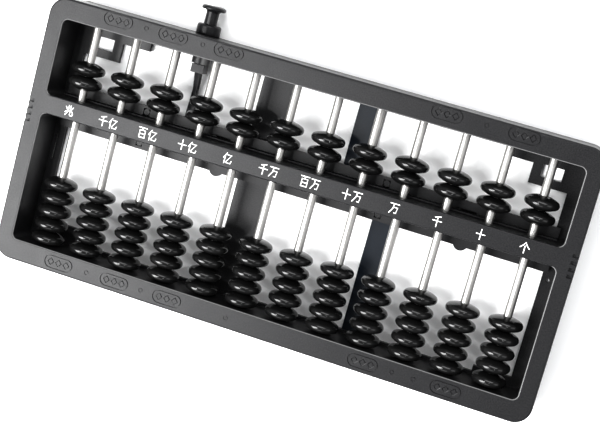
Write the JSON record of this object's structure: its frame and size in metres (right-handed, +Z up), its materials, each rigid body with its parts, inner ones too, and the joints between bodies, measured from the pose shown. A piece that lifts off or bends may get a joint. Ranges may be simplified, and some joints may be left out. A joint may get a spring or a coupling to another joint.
{
  "type": "abacus",
  "caption": "Framed abacus with lens-shaped beads on metal rods in two decks, a crossbeam, and a sprung button that clears both decks.",
  "frame": {"origin": "under the middle of the whole object's box, on the surface that the back rests on", "axes": "+X along the row of rods, +Y away from the user towards the upper deck and the button, +Z up out of the face"},
  "size_m": [0.27, 0.1442, 0.024],
  "materials": {
    "frame_plastic": "fine moulded texture, charcoal black",
    "strap_plastic": "smooth blue-black strip",
    "screw_steel": "zinc plated",
    "rod_metal": "satin drawn rod",
    "bead_plastic": "glossy black moulding",
    "button_plastic": "semi-gloss black moulding",
    "bar_plastic": "satin black moulding",
    "gear_plastic": "natural acetal"
  },
  "bodies": {
    "frame": {"front_frame": "frame_plastic", "back_frame": "frame_plastic", "wide_strap": "frame_plastic", "upper_strap": "strap_plastic", "lower_strap": "strap_plastic", "case_screws": "screw_steel", "rods": "rod_metal", "pinion_pins": "screw_steel", "button_collar": "button_plastic", "return_spring": "screw_steel"},
    "reset_button": {"reset_button": "button_plastic", "push_arm": "button_plastic", "lower_reset_bar": "bar_plastic", "lower_push_strip": "button_plastic"},
    "upper_reset_bar": {"upper_reset_bar": "bar_plastic", "upper_push_strip": "button_plastic"},
    "pinion_left": {"pinion_left": "gear_plastic"},
    "pinion_right": {"pinion_right": "gear_plastic"},
    "upper_bead_01_beam_side": {"upper_bead_01_beam_side": "bead_plastic"},
    "upper_bead_01_rail_side": {"upper_bead_01_rail_side": "bead_plastic"},
    "lower_beads_01": {"lower_beads_01": "bead_plastic"},
    "upper_bead_02_beam_side": {"upper_bead_02_beam_side": "bead_plastic"},
    "upper_bead_02_rail_side": {"upper_bead_02_rail_side": "bead_plastic"},
    "lower_beads_02": {"lower_beads_02": "bead_plastic"},
    "upper_bead_03_beam_side": {"upper_bead_03_beam_side": "bead_plastic"},
    "upper_bead_03_rail_side": {"upper_bead_03_rail_side": "bead_plastic"},
    "lower_beads_03": {"lower_beads_03": "bead_plastic"},
    "upper_bead_04_beam_side": {"upper_bead_04_beam_side": "bead_plastic"},
    "upper_bead_04_rail_side": {"upper_bead_04_rail_side": "bead_plastic"},
    "lower_beads_04": {"lower_beads_04": "bead_plastic"},
    "upper_bead_05_beam_side": {"upper_bead_05_beam_side": "bead_plastic"},
    "upper_bead_05_rail_side": {"upper_bead_05_rail_side": "bead_plastic"},
    "lower_beads_05": {"lower_beads_05": "bead_plastic"},
    "upper_bead_06_beam_side": {"upper_bead_06_beam_side": "bead_plastic"},
    "upper_bead_06_rail_side": {"upper_bead_06_rail_side": "bead_plastic"},
    "lower_beads_06": {"lower_beads_06": "bead_plastic"},
    "upper_bead_07_beam_side": {"upper_bead_07_beam_side": "bead_plastic"},
    "upper_bead_07_rail_side": {"upper_bead_07_rail_side": "bead_plastic"},
    "lower_beads_07": {"lower_beads_07": "bead_plastic"},
    "upper_bead_08_beam_side": {"upper_bead_08_beam_side": "bead_plastic"},
    "upper_bead_08_rail_side": {"upper_bead_08_rail_side": "bead_plastic"},
    "lower_beads_08": {"lower_beads_08": "bead_plastic"},
    "upper_bead_09_beam_side": {"upper_bead_09_beam_side": "bead_plastic"},
    "upper_bead_09_rail_side": {"upper_bead_09_rail_side": "bead_plastic"},
    "lower_beads_09": {"lower_beads_09": "bead_plastic"},
    "upper_bead_10_beam_side": {"upper_bead_10_beam_side": "bead_plastic"},
    "upper_bead_10_rail_side": {"upper_bead_10_rail_side": "bead_plastic"},
    "lower_beads_10": {"lower_beads_10": "bead_plastic"},
    "upper_bead_11_beam_side": {"upper_bead_11_beam_side": "bead_plastic"},
    "upper_bead_11_rail_side": {"upper_bead_11_rail_side": "bead_plastic"},
    "lower_beads_11": {"lower_beads_11": "bead_plastic"},
    "upper_bead_12_beam_side": {"upper_bead_12_beam_side": "bead_plastic"},
    "upper_bead_12_rail_side": {"upper_bead_12_rail_side": "bead_plastic"},
    "lower_beads_12": {"lower_beads_12": "bead_plastic"}
  },
  "joints": [
    {"name": "button_press", "type": "slide", "parent": "frame", "child": "reset_button", "axis": [0, 1, 0], "range_m": [-0.0045, 0], "stiffness_N_per_m": 300, "springref_m": 0.003, "deforming": ["return_spring"]},
    {"name": "upper_bar_slide", "type": "slide", "parent": "frame", "child": "upper_reset_bar", "axis": [0, 1, 0], "range_m": [0, 0.0045]},
    {"name": "pinion_left_spin", "type": "hinge", "parent": "frame", "child": "pinion_left", "pos_m": [-0.0408, 0.00633, 0.0052], "axis": [0, 0, 1], "range_deg": [0, 81.07]},
    {"name": "pinion_right_spin", "type": "hinge", "parent": "frame", "child": "pinion_right", "pos_m": [0.0816, 0.00633, 0.0052], "axis": [0, 0, 1], "range_deg": [0, 81.07]},
    {"name": "upper_bead_01_beam_side_slide", "type": "slide", "parent": "frame", "child": "upper_bead_01_beam_side", "axis": [0, -1, 0], "range_m": [-0.0173, 0.0044]},
    {"name": "upper_bead_01_rail_side_slide", "type": "slide", "parent": "upper_bead_01_beam_side", "child": "upper_bead_01_rail_side", "axis": [0, 1, 0], "range_m": [0, 0.0173]},
    {"name": "lower_beads_01_slide", "type": "slide", "parent": "frame", "child": "lower_beads_01", "axis": [0, 1, 0], "range_m": [0, 0.0278]},
    {"name": "upper_bead_02_beam_side_slide", "type": "slide", "parent": "frame", "child": "upper_bead_02_beam_side", "axis": [0, -1, 0], "range_m": [-0.0173, 0.0044]},
    {"name": "upper_bead_02_rail_side_slide", "type": "slide", "parent": "upper_bead_02_beam_side", "child": "upper_bead_02_rail_side", "axis": [0, 1, 0], "range_m": [0, 0.0173]},
    {"name": "lower_beads_02_slide", "type": "slide", "parent": "frame", "child": "lower_beads_02", "axis": [0, 1, 0], "range_m": [0, 0.0278]},
    {"name": "upper_bead_03_beam_side_slide", "type": "slide", "parent": "frame", "child": "upper_bead_03_beam_side", "axis": [0, -1, 0], "range_m": [-0.0173, 0.0044]},
    {"name": "upper_bead_03_rail_side_slide", "type": "slide", "parent": "upper_bead_03_beam_side", "child": "upper_bead_03_rail_side", "axis": [0, 1, 0], "range_m": [0, 0.0173]},
    {"name": "lower_beads_03_slide", "type": "slide", "parent": "frame", "child": "lower_beads_03", "axis": [0, 1, 0], "range_m": [0, 0.0278]},
    {"name": "upper_bead_04_beam_side_slide", "type": "slide", "parent": "frame", "child": "upper_bead_04_beam_side", "axis": [0, -1, 0], "range_m": [-0.0173, 0.0044]},
    {"name": "upper_bead_04_rail_side_slide", "type": "slide", "parent": "upper_bead_04_beam_side", "child": "upper_bead_04_rail_side", "axis": [0, 1, 0], "range_m": [0, 0.0173]},
    {"name": "lower_beads_04_slide", "type": "slide", "parent": "frame", "child": "lower_beads_04", "axis": [0, 1, 0], "range_m": [0, 0.0278]},
    {"name": "upper_bead_05_beam_side_slide", "type": "slide", "parent": "frame", "child": "upper_bead_05_beam_side", "axis": [0, -1, 0], "range_m": [-0.0173, 0.0044]},
    {"name": "upper_bead_05_rail_side_slide", "type": "slide", "parent": "upper_bead_05_beam_side", "child": "upper_bead_05_rail_side", "axis": [0, 1, 0], "range_m": [0, 0.0173]},
    {"name": "lower_beads_05_slide", "type": "slide", "parent": "frame", "child": "lower_beads_05", "axis": [0, 1, 0], "range_m": [0, 0.0278]},
    {"name": "upper_bead_06_beam_side_slide", "type": "slide", "parent": "frame", "child": "upper_bead_06_beam_side", "axis": [0, -1, 0], "range_m": [-0.0173, 0.0044]},
    {"name": "upper_bead_06_rail_side_slide", "type": "slide", "parent": "upper_bead_06_beam_side", "child": "upper_bead_06_rail_side", "axis": [0, 1, 0], "range_m": [0, 0.0173]},
    {"name": "lower_beads_06_slide", "type": "slide", "parent": "frame", "child": "lower_beads_06", "axis": [0, 1, 0], "range_m": [0, 0.0278]},
    {"name": "upper_bead_07_beam_side_slide", "type": "slide", "parent": "frame", "child": "upper_bead_07_beam_side", "axis": [0, -1, 0], "range_m": [-0.0173, 0.0044]},
    {"name": "upper_bead_07_rail_side_slide", "type": "slide", "parent": "upper_bead_07_beam_side", "child": "upper_bead_07_rail_side", "axis": [0, 1, 0], "range_m": [0, 0.0173]},
    {"name": "lower_beads_07_slide", "type": "slide", "parent": "frame", "child": "lower_beads_07", "axis": [0, 1, 0], "range_m": [0, 0.0278]},
    {"name": "upper_bead_08_beam_side_slide", "type": "slide", "parent": "frame", "child": "upper_bead_08_beam_side", "axis": [0, -1, 0], "range_m": [-0.0173, 0.0044]},
    {"name": "upper_bead_08_rail_side_slide", "type": "slide", "parent": "upper_bead_08_beam_side", "child": "upper_bead_08_rail_side", "axis": [0, 1, 0], "range_m": [0, 0.0173]},
    {"name": "lower_beads_08_slide", "type": "slide", "parent": "frame", "child": "lower_beads_08", "axis": [0, 1, 0], "range_m": [0, 0.0278]},
    {"name": "upper_bead_09_beam_side_slide", "type": "slide", "parent": "frame", "child": "upper_bead_09_beam_side", "axis": [0, -1, 0], "range_m": [-0.0173, 0.0044]},
    {"name": "upper_bead_09_rail_side_slide", "type": "slide", "parent": "upper_bead_09_beam_side", "child": "upper_bead_09_rail_side", "axis": [0, 1, 0], "range_m": [0, 0.0173]},
    {"name": "lower_beads_09_slide", "type": "slide", "parent": "frame", "child": "lower_beads_09", "axis": [0, 1, 0], "range_m": [0, 0.0278]},
    {"name": "upper_bead_10_beam_side_slide", "type": "slide", "parent": "frame", "child": "upper_bead_10_beam_side", "axis": [0, -1, 0], "range_m": [-0.0173, 0.0044]},
    {"name": "upper_bead_10_rail_side_slide", "type": "slide", "parent": "upper_bead_10_beam_side", "child": "upper_bead_10_rail_side", "axis": [0, 1, 0], "range_m": [0, 0.0173]},
    {"name": "lower_beads_10_slide", "type": "slide", "parent": "frame", "child": "lower_beads_10", "axis": [0, 1, 0], "range_m": [0, 0.0278]},
    {"name": "upper_bead_11_beam_side_slide", "type": "slide", "parent": "frame", "child": "upper_bead_11_beam_side", "axis": [0, -1, 0], "range_m": [-0.0173, 0.0044]},
    {"name": "upper_bead_11_rail_side_slide", "type": "slide", "parent": "upper_bead_11_beam_side", "child": "upper_bead_11_rail_side", "axis": [0, 1, 0], "range_m": [0, 0.0173]},
    {"name": "lower_beads_11_slide", "type": "slide", "parent": "frame", "child": "lower_beads_11", "axis": [0, 1, 0], "range_m": [0, 0.0278]},
    {"name": "upper_bead_12_beam_side_slide", "type": "slide", "parent": "frame", "child": "upper_bead_12_beam_side", "axis": [0, -1, 0], "range_m": [-0.0173, 0.0044]},
    {"name": "upper_bead_12_rail_side_slide", "type": "slide", "parent": "upper_bead_12_beam_side", "child": "upper_bead_12_rail_side", "axis": [0, 1, 0], "range_m": [0, 0.0173]},
    {"name": "lower_beads_12_slide", "type": "slide", "parent": "frame", "child": "lower_beads_12", "axis": [0, 1, 0], "range_m": [0, 0.0278]}
  ],
  "couplings": [
    {"joint": "upper_bar_slide", "follows": "button_press", "ratio": -1},
    {"joint": "pinion_left_spin", "follows": "button_press", "rad_per_m": -312.5},
    {"joint": "pinion_right_spin", "follows": "button_press", "rad_per_m": -312.5}
  ]
}
